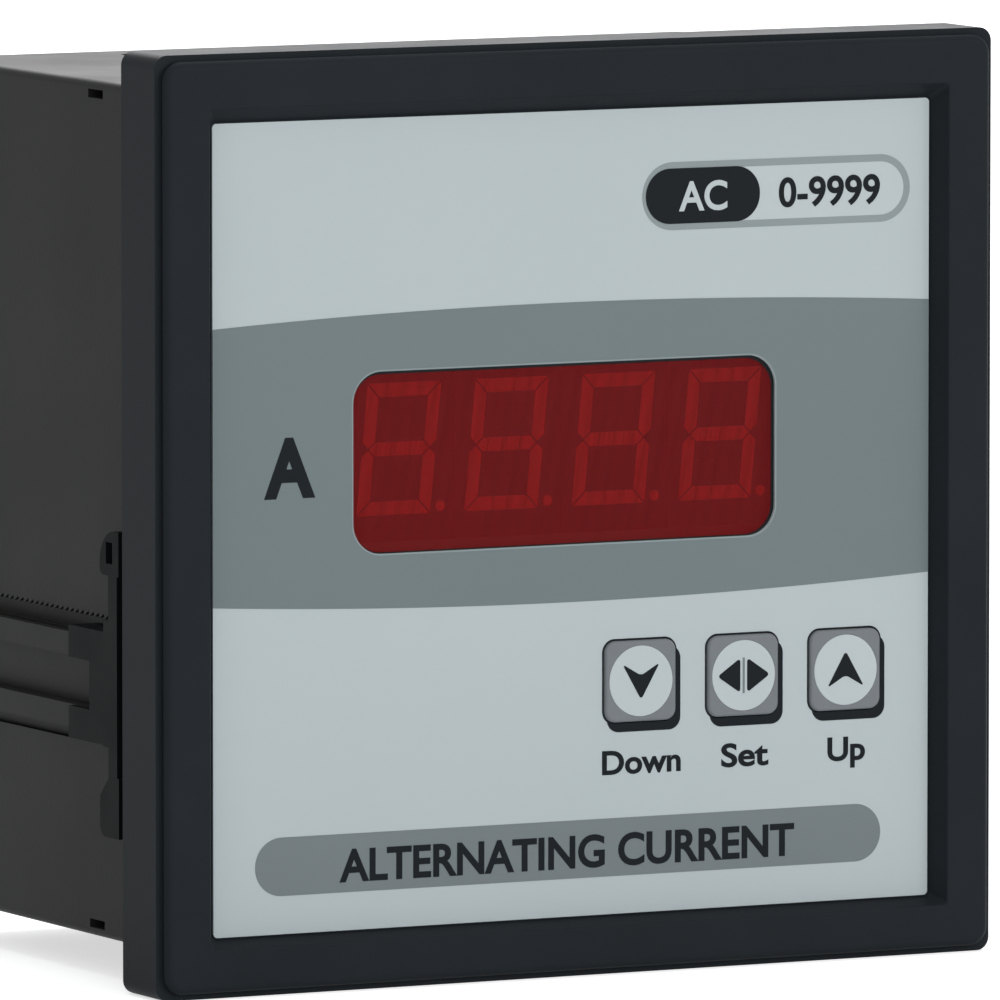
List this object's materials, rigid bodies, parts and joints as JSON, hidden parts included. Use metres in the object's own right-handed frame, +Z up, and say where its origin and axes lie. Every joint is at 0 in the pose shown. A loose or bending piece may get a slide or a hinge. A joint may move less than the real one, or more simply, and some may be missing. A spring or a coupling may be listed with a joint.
{
  "type": "digital panel meter",
  "caption": "Square digital panel meter with a red display window, push keys under it and ratchet clamps on a box case behind the bezel.",
  "frame": {"origin": "middle of the bezel's rear face, which seats on the panel", "axes": "+X to the right as seen from the front, +Y back through the panel, +Z up"},
  "size_m": [0.096, 0.0636, 0.096],
  "materials": {
    "bezel_plastic": "fine-grained black moulding",
    "case_plastic": "fine-grained black moulding, a little lighter than the bezel",
    "clamp_plastic": "smooth black moulding",
    "face_print": "light grey printed polycarbonate sheet, satin",
    "red_window": "clear red acrylic sheet",
    "digit_body": "dark red moulded display body",
    "digit_segment": "cloudy red cast resin",
    "key_grey": "mid grey moulding",
    "key_disc_white": "off-white printed disc",
    "switch_black": "smooth black moulding",
    "sheet_steel": "bright tinned sheet",
    "screw_steel": "zinc plated",
    "circuit_board": "green solder mask over glass laminate",
    "chip_black": "matt moulded chip body",
    "connector_black": "smooth black moulding",
    "pin_gold": "gold flash",
    "core_steel": "dark laminated electrical steel",
    "bobbin_plastic": "glass-filled moulding",
    "coil_copper": "enamelled copper wire under yellow tape",
    "capacitor_sleeve": "shrunk sleeve with a bare aluminium top",
    "ring_tape": "yellow polyester tape over the winding",
    "copper_wire": "tinned copper",
    "fuse_glass": "clear tube with plated caps",
    "varistor_lacquer": "blue dipped lacquer",
    "terminal_green": "dark grey flame-retardant moulding",
    "terminal_brass": "tinned brass"
  },
  "bodies": {
    "meter": {"bezel": "bezel_plastic", "rear_case": "case_plastic", "face_label": "face_print", "window_filter": "red_window", "display_board": "circuit_board", "board_screws": "screw_steel", "controller_chip": "chip_black", "driver_chip": "chip_black", "crystal": "sheet_steel", "main_board": "circuit_board", "board_socket": "connector_black", "board_header": "connector_black", "header_pins": "pin_gold", "transformer_core": "core_steel", "transformer_bobbin": "bobbin_plastic", "transformer_coil": "coil_copper", "smoothing_capacitors": "capacitor_sleeve", "bridge_rectifier": "chip_black", "current_transformer": "ring_tape", "input_conductor": "copper_wire", "fuse": "fuse_glass", "fuse_clips": "terminal_brass", "regulator": "chip_black", "varistor": "varistor_lacquer", "terminal_block": "terminal_green", "terminal_screws": "screw_steel", "terminal_contacts": "terminal_brass", "digit_1": "digit_body", "digit_1_segments": "digit_segment", "digit_2": "digit_body", "digit_2_segments": "digit_segment", "digit_3": "digit_body", "digit_3_segments": "digit_segment", "digit_4": "digit_body", "digit_4_segments": "digit_segment", "switch_down_body": "switch_black", "switch_down_cover": "sheet_steel", "switch_set_body": "switch_black", "switch_set_cover": "sheet_steel", "switch_up_body": "switch_black", "switch_up_cover": "sheet_steel"},
    "key_down": {"key_down": "key_grey", "key_down_disc": "key_disc_white", "switch_down_plunger": "switch_black"},
    "key_set": {"key_set": "key_grey", "key_set_disc": "key_disc_white", "switch_set_plunger": "switch_black"},
    "key_up": {"key_up": "key_grey", "key_up_disc": "key_disc_white", "switch_up_plunger": "switch_black"},
    "left_clamp": {"left_clamp": "clamp_plastic"},
    "right_clamp": {"right_clamp": "clamp_plastic"}
  },
  "joints": [
    {"name": "key_down_press", "type": "slide", "parent": "meter", "child": "key_down", "axis": [0, 1, 0], "range_m": [0, 0.0003], "stiffness_N_per_m": 4000, "springref_m": -0.0001},
    {"name": "key_set_press", "type": "slide", "parent": "meter", "child": "key_set", "axis": [0, 1, 0], "range_m": [0, 0.0003], "stiffness_N_per_m": 4000, "springref_m": -0.0001},
    {"name": "key_up_press", "type": "slide", "parent": "meter", "child": "key_up", "axis": [0, 1, 0], "range_m": [0, 0.0003], "stiffness_N_per_m": 4000, "springref_m": -0.0001},
    {"name": "left_clamp_slide", "type": "slide", "parent": "meter", "child": "left_clamp", "axis": [0, 1, 0], "range_m": [-0.002, 0.038]},
    {"name": "right_clamp_slide", "type": "slide", "parent": "meter", "child": "right_clamp", "axis": [0, 1, 0], "range_m": [-0.002, 0.038]}
  ]
}
